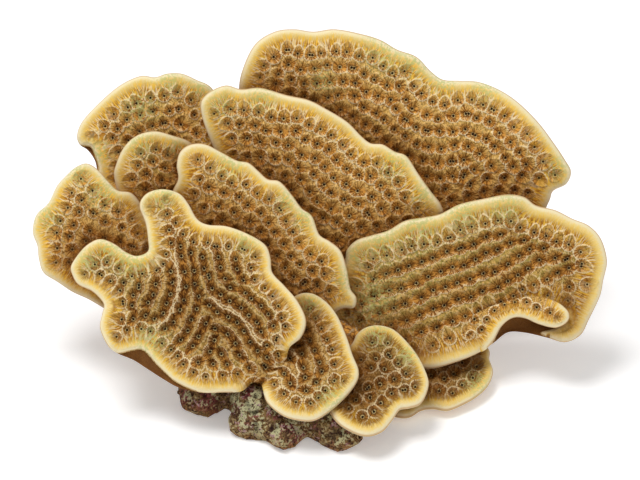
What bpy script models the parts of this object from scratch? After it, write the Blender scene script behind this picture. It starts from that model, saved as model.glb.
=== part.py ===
"""Cactus coral colony on its stone, as one solid for each plate of the colony.

Metres, +Z up, and the colony faces -Y. The origin lies under the stone, on the plane that it rests on.

Every frond is a thin plate. Its margin is drawn in millimetres on one plane that leans back from the
vertical, x to the right and y up the slope, and its depth is laid off toward one far point in front of
the colony. Change a frond by its margin, its depth at the root or its slopes.
"""
import math

import bmesh
import bpy
from mathutils import Vector, geometry, noise

MM = 0.001

# Driving dimensions
LEAN = math.radians(35)  # the drawing plane leans back from the vertical by this much
AIM = (18.8, 64.6)  # mm, the place on the drawing plane that the far point stands square to
SIGHT = 890.0  # mm from the drawing plane to the far point
PLATE = 3.3  # mm, thickness of a frond
GAP = 0.35  # mm kept between pieces that touch
MARGIN_STEP = 5.5  # mm between the points of a frond's edge
INNER_STEP = 9.0  # mm between the points inside a frond
ROOT_REACH = 7.0  # mm, how far round its root a frond dips into the growth that it springs from

ROCK_TOP = 13.7  # mm
BASE_CENTRE = (7, 12, 12)  # mm
BASE_RADII = (34, 34, 20)  # mm

# margin: the points that the plate's edge passes through, mm on the drawing plane
# root: where the plate springs from; dip: how much deeper it lies there
# depth: at the middle of the plate, mm toward the far point; slope: change of depth for each mm of x and y
# dish: how strongly the edge turns up toward the far point, across and along
# waves: height, number and turn of the waves that run round the edge
FRONDS = {
    "frond_back_right": {
        "margin": (
            (-15, 127), (-13, 137), (-8, 146.5), (0, 151.5), (8, 152.5), (16, 151.5), (25, 152.5),
            (36, 150.5), (44, 148), (51, 144), (59, 141), (65, 135), (70, 131.5), (77, 131), (85, 130.5),
            (94, 127), (102, 121.5), (110, 113.5), (116, 105.5), (121, 98), (123.5, 93), (121.5, 88),
            (116, 85), (114, 80), (106, 66), (80, 53), (52, 42), (30, 36), (13, 40), (3, 58),
            (-7, 90), (-13, 112),
        ),
        "root": (22, 42), "dip": 0, "middle": (50, 100), "depth": -14, "slope": (0.05, 0.15),
        "dish": (0.0012, 0.0012), "waves": (1.2, 5, 0.4), "colour": (0.46, 0.29, 0.09),
    },
    "frond_middle_back": {
        "margin": (
            (-31, 119), (-29, 125), (-21, 129), (-14, 127.5), (-6, 128), (5, 125), (14, 123), (21, 119.5),
            (30, 114), (36, 108), (40, 105), (45, 104.5), (50, 101.5), (55, 99.5), (60, 92), (65, 85),
            (69.5, 79), (69, 74), (56, 62), (38, 46), (22, 32), (8, 38), (-6, 62), (-18, 86), (-27, 106),
        ),
        "root": (15, 34), "dip": 0, "middle": (18, 88), "depth": -5, "slope": (0.0, 0.14),
        "dish": (0.0014, 0.0014), "waves": (1.0, 4, 1.2), "colour": (0.47, 0.30, 0.09),
    },
    "frond_right": {
        "margin": (
            (29, 55), (30, 60.5), (34, 64.5), (40, 66.5), (47, 68.5), (54, 72.5), (62, 74), (69, 75.5),
            (77, 79.5), (88, 82), (97, 83.5), (104, 82.5), (109, 79), (117, 77), (124, 73.5), (131, 70.5),
            (136, 65), (138.5, 56), (137, 48), (135.5, 41), (131, 31.5), (127.5, 25), (121, 22),
            (113, 24), (104, 26), (97, 26), (91, 21.5), (84, 17), (75, 13.5), (65, 11),
            (56, 12.5), (42, 19), (26, 27), (25, 42),
        ),
        "root": (32, 26), "dip": 3, "middle": (85, 48), "depth": 2, "slope": (0.10, 0.0),
        "dish": (0.0010, 0.0040), "waves": (1.0, 6, 0.0), "colour": (0.48, 0.33, 0.11),
    },
    "frond_right_lip": {
        "margin": (
            (79, 21), (80, 30), (88, 36), (97, 39), (104, 40.8), (111, 40.8), (118, 38.5),
            (122.5, 34.5), (122, 30.5), (117, 28), (110, 29.5), (104, 32), (99, 32), (94.5, 28.5),
            (91, 22.5), (86, 18),
        ),
        "root": (82, 27), "dip": 3, "middle": (104, 33), "depth": 10, "slope": (0.16, -0.12),
        "dish": (0.0, 0.0), "waves": (0.0, 1, 0.0), "colour": (0.52, 0.36, 0.13),
    },
    "frond_middle_front": {
        "margin": (
            (-41, 96), (-39.5, 101.5), (-35, 104.5), (-29, 104.5), (-22, 101), (-16, 97.8), (-11, 96.8),
            (-7, 93.5), (-3, 90), (2, 89), (7, 83.5), (11, 78), (15.5, 74.5), (18.5, 67), (23, 64),
            (27.5, 60), (30, 52.5), (31.5, 44.5), (34, 40.5), (33, 36.3), (27, 35.5), (18, 28), (6, 22),
            (-8, 28), (-24, 44), (-38, 66), (-43, 82), (-40.5, 90),
        ),
        "root": (5, 27), "dip": 2, "middle": (-5, 66), "depth": 8, "slope": (0.0, 0.10),
        "dish": (0.0014, 0.0014), "waves": (0.9, 5, 2.0), "colour": (0.47, 0.31, 0.09),
    },
    "frond_upper_left": {
        "margin": (
            (-82.5, 108.5), (-80, 114.5), (-72, 123), (-64, 129.5), (-56, 133), (-50, 132.5), (-45, 134),
            (-39, 134), (-33, 131.5), (-26, 127.5), (-22, 116), (-20, 98), (-15, 76), (-8, 54), (-2, 38),
            (-12, 34), (-30, 50), (-50, 66), (-66, 80), (-73, 90), (-75, 97.5), (-78, 102), (-81.5, 104.5),
        ),
        "root": (-6, 40), "dip": 0, "middle": (-48, 100), "depth": -11, "slope": (0.0, 0.05),
        "dish": (0.0012, 0.0012), "waves": (0.9, 4, 0.7), "colour": (0.46, 0.30, 0.09),
    },
    "frond_small_left": {
        "margin": (
            (-67, 90), (-66, 97), (-62.5, 104), (-57, 108.5), (-50, 110), (-43, 108.3), (-35, 105.3),
            (-29, 98), (-24, 80), (-15, 58), (-8, 40), (-18, 34), (-34, 46), (-50, 60), (-62, 76),
        ),
        "root": (-12, 40), "dip": 0, "middle": (-44, 82), "depth": -2, "slope": (0.0, 0.03),
        "dish": (0.0016, 0.0016), "waves": (0.7, 3, 1.0), "colour": (0.47, 0.31, 0.09),
    },
    "frond_front_left": {
        "margin": (
            (-85, 54), (-81, 60), (-77, 63.5), (-72.5, 65), (-67, 63), (-62, 59.5), (-57.5, 58), (-53, 60),
            (-53, 65), (-54, 71.5), (-56.5, 79), (-53.5, 84), (-47, 85.8), (-40, 84), (-36, 79.5),
            (-32.5, 73.5), (-28, 71), (-20, 70.3), (-11, 67), (-4, 62.5), (-1.8, 57), (-1, 51), (4, 45.5),
            (9.5, 39), (13, 31), (11, 24), (6, 19.5), (4, 12), (-2, 6), (-9, 5), (-14, 1.5), (-22, 1),
            (-31, 1), (-40, 3), (-46.5, 6.5), (-53.5, 11), (-59, 14.5), (-66, 17.5), (-70, 21), (-73, 28),
            (-72, 34), (-71.5, 38), (-76, 43), (-82, 46), (-84.5, 50),
        ),
        "root": (3, 9), "dip": 9, "middle": (-30, 40), "depth": 25, "slope": (0.02, -0.15),
        "dish": (0.0015, 0.0010), "waves": (1.0, 5, 2.6), "colour": (0.48, 0.31, 0.10),
    },
    "frond_left": {
        "margin": (
            (-83, 95), (-78.5, 96.5), (-74, 94), (-69.5, 89), (-65.5, 85.3), (-60, 84.3), (-56, 80),
            (-52, 72), (-44, 56), (-32, 42), (-16, 28), (-12, 18), (-26, 14), (-44, 22), (-62, 30),
            (-72, 36.5), (-78, 40), (-84.5, 43), (-90.5, 47), (-96.5, 51), (-98.5, 57), (-99, 62), (-101, 68),
            (-99.5, 75), (-94.5, 80), (-91, 87), (-87, 91.5),
        ),
        "root": (-16, 22), "dip": 0, "middle": (-68, 62), "depth": 6, "slope": (0.08, -0.08),
        "dish": (0.0016, 0.0016), "waves": (1.0, 4, 0.0), "colour": (0.47, 0.30, 0.09),
    },
    "frond_front_middle": {
        "margin": (
            (-7, 13), (-4, 26), (2, 36), (9, 41.5), (15, 42.3), (21, 39), (26, 33), (30, 24),
            (32.5, 16.5), (35, 10), (34, 5), (29, -1.5), (22, -7.5), (16, -10.8), (9, -10.5), (3, -8.5),
            (-3, -3.5), (-5, 2),
        ),
        "root": (-5, 20), "dip": 6, "middle": (14, 14), "depth": 28.5, "slope": (0.0, -0.43),
        "dish": (0.0030, 0.0012), "waves": (0.5, 4, 0.0), "colour": (0.47, 0.30, 0.09),
    },
    "frond_small_right": {
        "margin": (
            (31, 20), (34, 25), (38, 28), (43.5, 28.8), (49.5, 27), (55, 22), (60, 15.5), (63.5, 8),
            (64, 3), (61, -3.5), (56, -5.5), (52, -6.3), (49, -10.5), (44.5, -15.5), (38, -17.3), (31, -15),
            (25, -10.5), (21, -3), (18, 8),
        ),
        "root": (20, 8), "dip": 6, "middle": (42, 6), "depth": 25, "slope": (0.0, -0.66),
        "dish": (0.0020, 0.0015), "waves": (0.5, 4, 0.8), "colour": (0.46, 0.29, 0.09),
    },
    "frond_lower_right": {
        "margin": (
            (88, 20), (89.5, 14.5), (91, 9.5), (89, 4), (84.5, -0.5), (78.5, -4), (72, -6.5), (66, -5.8),
            (61, -6.5), (56, -9.3), (50, -9), (40, -5), (30, 6), (36, 16), (54, 24), (72, 27),
        ),
        "root": (38, 6), "dip": 0, "middle": (66, 8), "depth": 0.5, "slope": (0.0, -1.0),
        "dish": (0.0010, 0.0010), "waves": (0.5, 5, 0.5), "colour": (0.40, 0.25, 0.08),
    },
}

# The stone's outline seen from above, mm; its front is lobed where bites were broken out of it
ROCK_OUTLINE = (
    (-40, 4), (-39, -8), (-35, -14), (-29, -16), (-22, -10), (-17, -16), (-18, -26), (-12, -31), (-4, -32),
    (4, -38), (9, -36), (14, -29), (20, -34), (27, -39), (34, -35), (38, -28), (43, -16), (46, 2),
    (45, 24), (34, 44), (12, 54), (-14, 48), (-32, 30),
)
ROCK_MIDDLE = (3, 2)  # mm, the point that the stone narrows toward
ROCK_LEVELS = ((0, 0.94), (4, 1.0), (8, 0.95), (11, 0.86), (ROCK_TOP, 0.7))  # height in mm, and width
KNOB_CENTRE = (-9, -20, 12)  # mm, the knob that stands up between the two front fronds
KNOB_RADII = (7, 6, 8)  # mm


def clear_scene():
    for obj in list(bpy.data.objects):
        bpy.data.objects.remove(obj, do_unlink=True)


def coat(obj, colour, roughness):
    """Gives the object a material of its own."""
    material = bpy.data.materials.new(obj.name)
    material.use_nodes = True
    shader = material.node_tree.nodes["Principled BSDF"]
    shader.inputs["Base Color"].default_value = (*colour, 1)
    shader.inputs["Roughness"].default_value = roughness
    shader.inputs["Metallic"].default_value = 0.0
    obj.data.materials.append(material)


def object_from(name, mesh_data):
    """Makes a named object of a bmesh, freeing it."""
    mesh = bpy.data.meshes.new(name)
    mesh_data.to_mesh(mesh)
    mesh_data.free()
    obj = bpy.data.objects.new(name, mesh)
    bpy.context.collection.objects.link(obj)
    return obj


def curve_through(points, step):
    """Closed smooth curve through the points, as points about one step apart."""
    points = [Vector(point) for point in points]
    count = len(points)
    found = []
    for index in range(count):
        before, start, end, after = (points[(index + k) % count] for k in (-1, 0, 1, 2))
        parts = max(1, round((end - start).length / step))
        for part in range(parts):
            t = part / parts
            found.append(
                start
                + (end - before) * (t * (1 - t) ** 2 / 2)
                + (end - start) * (t * t * (3 - 2 * t))
                - (after - start) * (t * t * (1 - t) / 2)
            )
    return found


def is_inside(point, loop):
    """Whether the loop goes round the point."""
    inside = False
    for index, corner in enumerate(loop):
        before = loop[index - 1]
        if (corner.y > point.y) != (before.y > point.y):
            crossing = corner.x + (before.x - corner.x) * (point.y - corner.y) / (before.y - corner.y)
            if point.x < crossing:
                inside = not inside
    return inside


def distance_to(point, loop):
    """Distance from the point to the nearest side of the loop."""
    nearest = math.inf
    for index, corner in enumerate(loop):
        on_side, share = geometry.intersect_point_line(point, loop[index - 1], corner)
        share = min(max(share, 0.0), 1.0)
        nearest = min(nearest, (point - loop[index - 1].lerp(corner, share)).length)
    return nearest


def inner_points(loop, step):
    """Points of a triangular grid inside the loop, well clear of it."""
    left = min(point.x for point in loop)
    right = max(point.x for point in loop)
    low = min(point.y for point in loop)
    high = max(point.y for point in loop)
    row_step = step * math.sqrt(3) / 2
    found = []
    for row in range(1, math.ceil((high - low) / row_step)):
        for column in range(math.ceil((right - left) / step) + 1):
            point = Vector((left + (column + row % 2 / 2) * step, low + row * row_step))
            if is_inside(point, loop) and distance_to(point, loop) > step * 0.6:
                found.append(point)
    return found


def depth_at(frond, x, y):
    """Depth of a frond's middle surface, mm toward the far point."""
    across = x - frond["middle"][0]
    along = y - frond["middle"][1]
    depth = frond["depth"] + frond["slope"][0] * across + frond["slope"][1] * along
    depth += frond["dish"][0] * across**2 + frond["dish"][1] * along**2
    height, number, turn = frond["waves"]
    reach = min(math.hypot(across, along) / 45, 1.3)
    depth += height * reach**2 * math.sin(number * math.atan2(along, across) + turn)
    from_root = math.hypot(x - frond["root"][0], y - frond["root"][1])
    return depth - frond["dip"] * math.exp(-((from_root / ROOT_REACH) ** 2) / 2)


def place(x, y, depth):
    """The point in space, metres, of a place on the drawing plane and a depth, mm."""
    up = Vector((0, math.sin(LEAN), math.cos(LEAN)))
    out = Vector((0, -math.cos(LEAN), math.sin(LEAN)))
    on_plane = Vector((x, 0, 0)) + up * y
    far_point = Vector((AIM[0], 0, 0)) + up * AIM[1] + out * SIGHT
    return on_plane.lerp(far_point, depth / SIGHT) * MM


def widened(loop, amount):
    """The loop moved outward by an amount; loops run clockwise."""
    count = len(loop)
    found = []
    for index, point in enumerate(loop):
        along = loop[(index + 1) % count] - loop[index - 1]
        found.append(point + Vector((-along.y, along.x)).normalized() * amount)
    return found


def frond_sheet(frond, grow):
    """The middle surface of a frond as a bmesh of triangles, with its margin moved outward."""
    loop = widened(curve_through(frond["margin"], MARGIN_STEP), grow)
    points = loop + inner_points(loop, INNER_STEP)
    sides = [(index, (index + 1) % len(loop)) for index in range(len(loop))]
    flat, _, triangles, *_ = geometry.delaunay_2d_cdt(points, sides, [], 1, 0.001)
    sheet = bmesh.new()
    corners = [sheet.verts.new(place(x, y, depth_at(frond, x, y))) for x, y in flat]
    for triangle in triangles:
        sheet.faces.new([corners[index] for index in triangle])
    bmesh.ops.recalc_face_normals(sheet, faces=sheet.faces)
    return sheet


def add_plate(name, frond, grow=0.0):
    """A frond's sheet given its thickness, half to each side, all of it grown by some mm."""
    plate = object_from(name, frond_sheet(frond, grow))
    solidify = plate.modifiers.new("thickness", "SOLIDIFY")
    solidify.thickness = (PLATE + 2 * grow) * MM
    solidify.offset = 0.0
    return plate


def cut(obj, cutter):
    boolean = obj.modifiers.new("clear of " + cutter.name, "BOOLEAN")
    boolean.object = cutter
    boolean.operation = "DIFFERENCE"


def as_cutter(obj):
    obj.hide_render = True
    obj.display_type = "WIRE"
    return obj


def ellipsoid(centre, radii, grow, floor):
    """Lumpy ellipsoid, grown by some mm and cut flat at a height, as a bmesh."""
    lump = bmesh.new()
    bmesh.ops.create_icosphere(lump, subdivisions=3, radius=1)
    for vert in lump.verts:
        swell = 1 + 0.05 * noise.noise(vert.co * 2.3)
        vert.co = Vector(
            (c + axis * (r * swell + grow)) * MM for c, r, axis in zip(centre, radii, vert.co)
        )
    if floor is not None:
        everything = lump.verts[:] + lump.edges[:] + lump.faces[:]
        made = bmesh.ops.bisect_plane(
            lump, geom=everything, plane_co=(0, 0, floor * MM), plane_no=(0, 0, -1), clear_outer=True
        )
        rim = [item for item in made["geom_cut"] if isinstance(item, bmesh.types.BMEdge)]
        bmesh.ops.contextual_create(lump, geom=rim)
    bmesh.ops.recalc_face_normals(lump, faces=lump.faces)
    return lump


def rock_body(grow):
    """The stone: its outline stacked at a few heights, with a flat bottom to rest on, grown by some mm."""
    outline = curve_through(ROCK_OUTLINE, 4.5)
    middle = Vector(ROCK_MIDDLE)
    rock = bmesh.new()
    rings = []
    for height, width in ROCK_LEVELS:
        flat_ring = height in (0, ROCK_TOP)
        level = height + (0 if not flat_ring else grow if height else -grow)
        ring = []
        for point in outline:
            rough = 0.0 if flat_ring else noise.noise(Vector((*point, height)) * 0.11)
            from_middle = point - middle
            spot = middle + from_middle * (width + 0.03 * rough + grow / from_middle.length)
            ring.append(rock.verts.new(Vector((spot.x, spot.y, level + rough)) * MM))
        rings.append(ring)
    for lower, upper in zip(rings, rings[1:]):
        for index in range(len(lower)):
            rock.faces.new((lower[index - 1], lower[index], upper[index], upper[index - 1]))
    rock.faces.new(reversed(rings[0]))
    rock.faces.new(rings[-1])
    bmesh.ops.triangulate(rock, faces=rock.faces)
    bmesh.ops.recalc_face_normals(rock, faces=rock.faces)
    return rock


def add_rock():
    rock = object_from("reef_rock", rock_body(0))
    knob = as_cutter(object_from("knob_shape", ellipsoid(KNOB_CENTRE, KNOB_RADII, 0, None)))
    joined = rock.modifiers.new("knob", "BOOLEAN")
    joined.object = knob
    joined.operation = "UNION"
    coat(rock, (0.24, 0.17, 0.13), 0.9)
    return rock


def add_base():
    """The encrusting growth that covers the stone's top and that every frond springs from."""
    base = object_from("encrusting_base", ellipsoid(BASE_CENTRE, BASE_RADII, 0, ROCK_TOP + GAP))
    knob = as_cutter(object_from("knob_clearance", ellipsoid(KNOB_CENTRE, KNOB_RADII, GAP, None)))
    cut(base, knob)
    coat(base, (0.30, 0.17, 0.09), 0.85)
    return base


def add_fronds():
    grown_base = ellipsoid(BASE_CENTRE, BASE_RADII, GAP, ROCK_TOP)
    base_clearance = as_cutter(object_from("base_clearance", grown_base))
    rock_clearance = as_cutter(object_from("rock_clearance", rock_body(GAP)))
    fronds = {}
    for name, frond in FRONDS.items():
        plate = add_plate(name, frond)
        cut(plate, base_clearance)
        coat(plate, frond["colour"], 0.7)
        fronds[name] = plate
    for low in ("frond_lower_right", "frond_small_right", "frond_right", "frond_back_right"):
        cut(fronds[low], rock_clearance)
    for kept, trimmed in (("frond_front_left", "frond_front_middle"), ("frond_right", "frond_right_lip")):
        clearance = add_plate(kept + "_clearance", FRONDS[kept], 2 * GAP)
        cut(fronds[trimmed], as_cutter(clearance))


def main():
    clear_scene()
    add_rock()
    add_base()
    add_fronds()


main()
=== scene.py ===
"""Surfaces of a cactus coral colony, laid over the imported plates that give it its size.

Every frond is a thin plate with a pale rolled edge, a striped golden band inside it, and rows of small
cups. Its margin and depth are the ones that its solid was made from, in millimetres: x to the right and
y up a plane that leans back, and depth toward one far point in front of the colony. The fine surface is
worked out on that plane and then lifted into space.
"""

import math

import bpy
import numpy as np
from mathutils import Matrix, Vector, geometry, noise


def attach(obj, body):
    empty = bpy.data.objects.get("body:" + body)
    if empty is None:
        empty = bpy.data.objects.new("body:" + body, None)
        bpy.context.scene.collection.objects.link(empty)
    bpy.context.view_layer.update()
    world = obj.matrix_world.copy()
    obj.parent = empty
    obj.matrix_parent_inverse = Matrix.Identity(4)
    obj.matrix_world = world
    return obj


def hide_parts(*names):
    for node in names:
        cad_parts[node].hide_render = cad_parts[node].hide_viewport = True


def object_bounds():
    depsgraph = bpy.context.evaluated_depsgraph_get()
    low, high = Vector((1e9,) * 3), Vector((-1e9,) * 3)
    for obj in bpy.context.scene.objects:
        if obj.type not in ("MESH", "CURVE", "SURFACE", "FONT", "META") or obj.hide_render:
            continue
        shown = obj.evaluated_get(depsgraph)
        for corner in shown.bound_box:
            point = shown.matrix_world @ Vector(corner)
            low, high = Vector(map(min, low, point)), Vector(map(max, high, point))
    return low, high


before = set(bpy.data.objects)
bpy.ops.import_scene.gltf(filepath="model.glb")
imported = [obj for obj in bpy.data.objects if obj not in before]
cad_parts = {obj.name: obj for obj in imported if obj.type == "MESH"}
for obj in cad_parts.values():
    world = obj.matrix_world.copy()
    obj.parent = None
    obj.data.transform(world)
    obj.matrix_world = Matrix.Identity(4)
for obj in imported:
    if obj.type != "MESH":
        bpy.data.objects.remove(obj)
CAD_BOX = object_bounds()

bl_info = {
    "name": "Cactus Coral Colony",
    "version": (1, 0, 0),
    "blender": (4, 5, 0),
    "location": "3D View > Sidebar > Coral",
    "description": "Builds the surfaces, stone and stage of a cactus coral colony",
    "category": "Add Mesh",
}

MM = 0.001

# The plane that the fronds are drawn on, as their solids have it
LEAN = math.radians(35)  # it leans back from the vertical by this much
AIM = (18.8, 64.6)  # mm, the place on it that the far point stands square to
SIGHT = 890.0  # mm from it to the far point
UP = np.array((0, math.sin(LEAN), math.cos(LEAN)))
OUT = np.array((0, -math.cos(LEAN), math.sin(LEAN)))
ROOT_REACH = 7.0  # mm, how far round its root a frond dips into the growth that it springs from

# margin: the points that the plate's edge passes through, mm on the drawing plane
# root: where the plate springs from; dip: how much deeper it lies there
# depth: at the middle of the plate, mm toward the far point; slope: change of depth for each mm of x and y
# dish: how strongly the edge turns up toward the far point, across and along
# waves: height, number and turn of the waves that run round the edge
FRONDS = {
    "frond_back_right": {
        "margin": (
            (-15, 127), (-13, 137), (-8, 146.5), (0, 151.5), (8, 152.5), (16, 151.5), (25, 152.5),
            (36, 150.5), (44, 148), (51, 144), (59, 141), (65, 135), (70, 131.5), (77, 131), (85, 130.5),
            (94, 127), (102, 121.5), (110, 113.5), (116, 105.5), (121, 98), (123.5, 93), (121.5, 88),
            (116, 85), (114, 80), (106, 66), (80, 53), (52, 42), (30, 36), (13, 40), (3, 58),
            (-7, 90), (-13, 112),
        ),
        "root": (22, 42), "dip": 0, "middle": (50, 100), "depth": -14, "slope": (0.05, 0.15),
        "dish": (0.0012, 0.0012), "waves": (1.2, 5, 0.4),
    },
    "frond_middle_back": {
        "margin": (
            (-31, 119), (-29, 125), (-21, 129), (-14, 127.5), (-6, 128), (5, 125), (14, 123), (21, 119.5),
            (30, 114), (36, 108), (40, 105), (45, 104.5), (50, 101.5), (55, 99.5), (60, 92), (65, 85),
            (69.5, 79), (69, 74), (56, 62), (38, 46), (22, 32), (8, 38), (-6, 62), (-18, 86), (-27, 106),
        ),
        "root": (15, 34), "dip": 0, "middle": (18, 88), "depth": -5, "slope": (0.0, 0.14),
        "dish": (0.0014, 0.0014), "waves": (1.0, 4, 1.2),
    },
    "frond_right": {
        "margin": (
            (29, 55), (30, 60.5), (34, 64.5), (40, 66.5), (47, 68.5), (54, 72.5), (62, 74), (69, 75.5),
            (77, 79.5), (88, 82), (97, 83.5), (104, 82.5), (109, 79), (117, 77), (124, 73.5), (131, 70.5),
            (136, 65), (138.5, 56), (137, 48), (135.5, 41), (131, 31.5), (127.5, 25), (121, 22),
            (113, 24), (104, 26), (97, 26), (91, 21.5), (84, 17), (75, 13.5), (65, 11),
            (56, 12.5), (42, 19), (26, 27), (25, 42),
        ),
        "root": (32, 26), "dip": 3, "middle": (85, 48), "depth": 2, "slope": (0.10, 0.0),
        "dish": (0.0010, 0.0040), "waves": (1.0, 6, 0.0),
    },
    "frond_right_lip": {
        "margin": (
            (79, 21), (80, 30), (88, 36), (97, 39), (104, 40.8), (111, 40.8), (118, 38.5),
            (122.5, 34.5), (122, 30.5), (117, 28), (110, 29.5), (104, 32), (99, 32), (94.5, 28.5),
            (91, 22.5), (86, 18),
        ),
        "root": (82, 27), "dip": 3, "middle": (104, 33), "depth": 10, "slope": (0.16, -0.12),
        "dish": (0.0, 0.0), "waves": (0.0, 1, 0.0),
    },
    "frond_middle_front": {
        "margin": (
            (-41, 96), (-39.5, 101.5), (-35, 104.5), (-29, 104.5), (-22, 101), (-16, 97.8), (-11, 96.8),
            (-7, 93.5), (-3, 90), (2, 89), (7, 83.5), (11, 78), (15.5, 74.5), (18.5, 67), (23, 64),
            (27.5, 60), (30, 52.5), (31.5, 44.5), (34, 40.5), (33, 36.3), (27, 35.5), (18, 28), (6, 22),
            (-8, 28), (-24, 44), (-38, 66), (-43, 82), (-40.5, 90),
        ),
        "root": (5, 27), "dip": 2, "middle": (-5, 66), "depth": 8, "slope": (0.0, 0.10),
        "dish": (0.0014, 0.0014), "waves": (0.9, 5, 2.0),
    },
    "frond_upper_left": {
        "margin": (
            (-82.5, 108.5), (-80, 114.5), (-72, 123), (-64, 129.5), (-56, 133), (-50, 132.5), (-45, 134),
            (-39, 134), (-33, 131.5), (-26, 127.5), (-22, 116), (-20, 98), (-15, 76), (-8, 54), (-2, 38),
            (-12, 34), (-30, 50), (-50, 66), (-66, 80), (-73, 90), (-75, 97.5), (-78, 102), (-81.5, 104.5),
        ),
        "root": (-6, 40), "dip": 0, "middle": (-48, 100), "depth": -11, "slope": (0.0, 0.05),
        "dish": (0.0012, 0.0012), "waves": (0.9, 4, 0.7),
    },
    "frond_small_left": {
        "margin": (
            (-67, 90), (-66, 97), (-62.5, 104), (-57, 108.5), (-50, 110), (-43, 108.3), (-35, 105.3),
            (-29, 98), (-24, 80), (-15, 58), (-8, 40), (-18, 34), (-34, 46), (-50, 60), (-62, 76),
        ),
        "root": (-12, 40), "dip": 0, "middle": (-44, 82), "depth": -2, "slope": (0.0, 0.03),
        "dish": (0.0016, 0.0016), "waves": (0.7, 3, 1.0),
    },
    "frond_front_left": {
        "margin": (
            (-85, 54), (-81, 60), (-77, 63.5), (-72.5, 65), (-67, 63), (-62, 59.5), (-57.5, 58), (-53, 60),
            (-53, 65), (-54, 71.5), (-56.5, 79), (-53.5, 84), (-47, 85.8), (-40, 84), (-36, 79.5),
            (-32.5, 73.5), (-28, 71), (-20, 70.3), (-11, 67), (-4, 62.5), (-1.8, 57), (-1, 51), (4, 45.5),
            (9.5, 39), (13, 31), (11, 24), (6, 19.5), (4, 12), (-2, 6), (-9, 5), (-14, 1.5), (-22, 1),
            (-31, 1), (-40, 3), (-46.5, 6.5), (-53.5, 11), (-59, 14.5), (-66, 17.5), (-70, 21), (-73, 28),
            (-72, 34), (-71.5, 38), (-76, 43), (-82, 46), (-84.5, 50),
        ),
        "root": (3, 9), "dip": 9, "middle": (-30, 40), "depth": 25, "slope": (0.02, -0.15),
        "dish": (0.0015, 0.0010), "waves": (1.0, 5, 2.6),
    },
    "frond_left": {
        "margin": (
            (-83, 95), (-78.5, 96.5), (-74, 94), (-69.5, 89), (-65.5, 85.3), (-60, 84.3), (-56, 80),
            (-52, 72), (-44, 56), (-32, 42), (-16, 28), (-12, 18), (-26, 14), (-44, 22), (-62, 30),
            (-72, 36.5), (-78, 40), (-84.5, 43), (-90.5, 47), (-96.5, 51), (-98.5, 57), (-99, 62), (-101, 68),
            (-99.5, 75), (-94.5, 80), (-91, 87), (-87, 91.5),
        ),
        "root": (-16, 22), "dip": 0, "middle": (-68, 62), "depth": 6, "slope": (0.08, -0.08),
        "dish": (0.0016, 0.0016), "waves": (1.0, 4, 0.0),
    },
    "frond_front_middle": {
        "margin": (
            (-7, 13), (-4, 26), (2, 36), (9, 41.5), (15, 42.3), (21, 39), (26, 33), (30, 24),
            (32.5, 16.5), (35, 10), (34, 5), (29, -1.5), (22, -7.5), (16, -10.8), (9, -10.5), (3, -8.5),
            (-3, -3.5), (-5, 2),
        ),
        "root": (-5, 20), "dip": 6, "middle": (14, 14), "depth": 28.5, "slope": (0.0, -0.43),
        "dish": (0.0030, 0.0012), "waves": (0.5, 4, 0.0),
    },
    "frond_small_right": {
        "margin": (
            (31, 20), (34, 25), (38, 28), (43.5, 28.8), (49.5, 27), (55, 22), (60, 15.5), (63.5, 8),
            (64, 3), (61, -3.5), (56, -5.5), (52, -6.3), (49, -10.5), (44.5, -15.5), (38, -17.3), (31, -15),
            (25, -10.5), (21, -3), (18, 8),
        ),
        "root": (20, 8), "dip": 6, "middle": (42, 6), "depth": 25, "slope": (0.0, -0.66),
        "dish": (0.0020, 0.0015), "waves": (0.5, 4, 0.8),
    },
    "frond_lower_right": {
        "margin": (
            (88, 20), (89.5, 14.5), (91, 9.5), (89, 4), (84.5, -0.5), (78.5, -4), (72, -6.5), (66, -5.8),
            (61, -6.5), (56, -9.3), (50, -9), (40, -5), (30, 6), (36, 16), (54, 24), (72, 27),
        ),
        "root": (38, 6), "dip": 0, "middle": (66, 8), "depth": 0.5, "slope": (0.0, -1.0),
        "dish": (0.0010, 0.0010), "waves": (0.5, 5, 0.5),
    },
}

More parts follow.
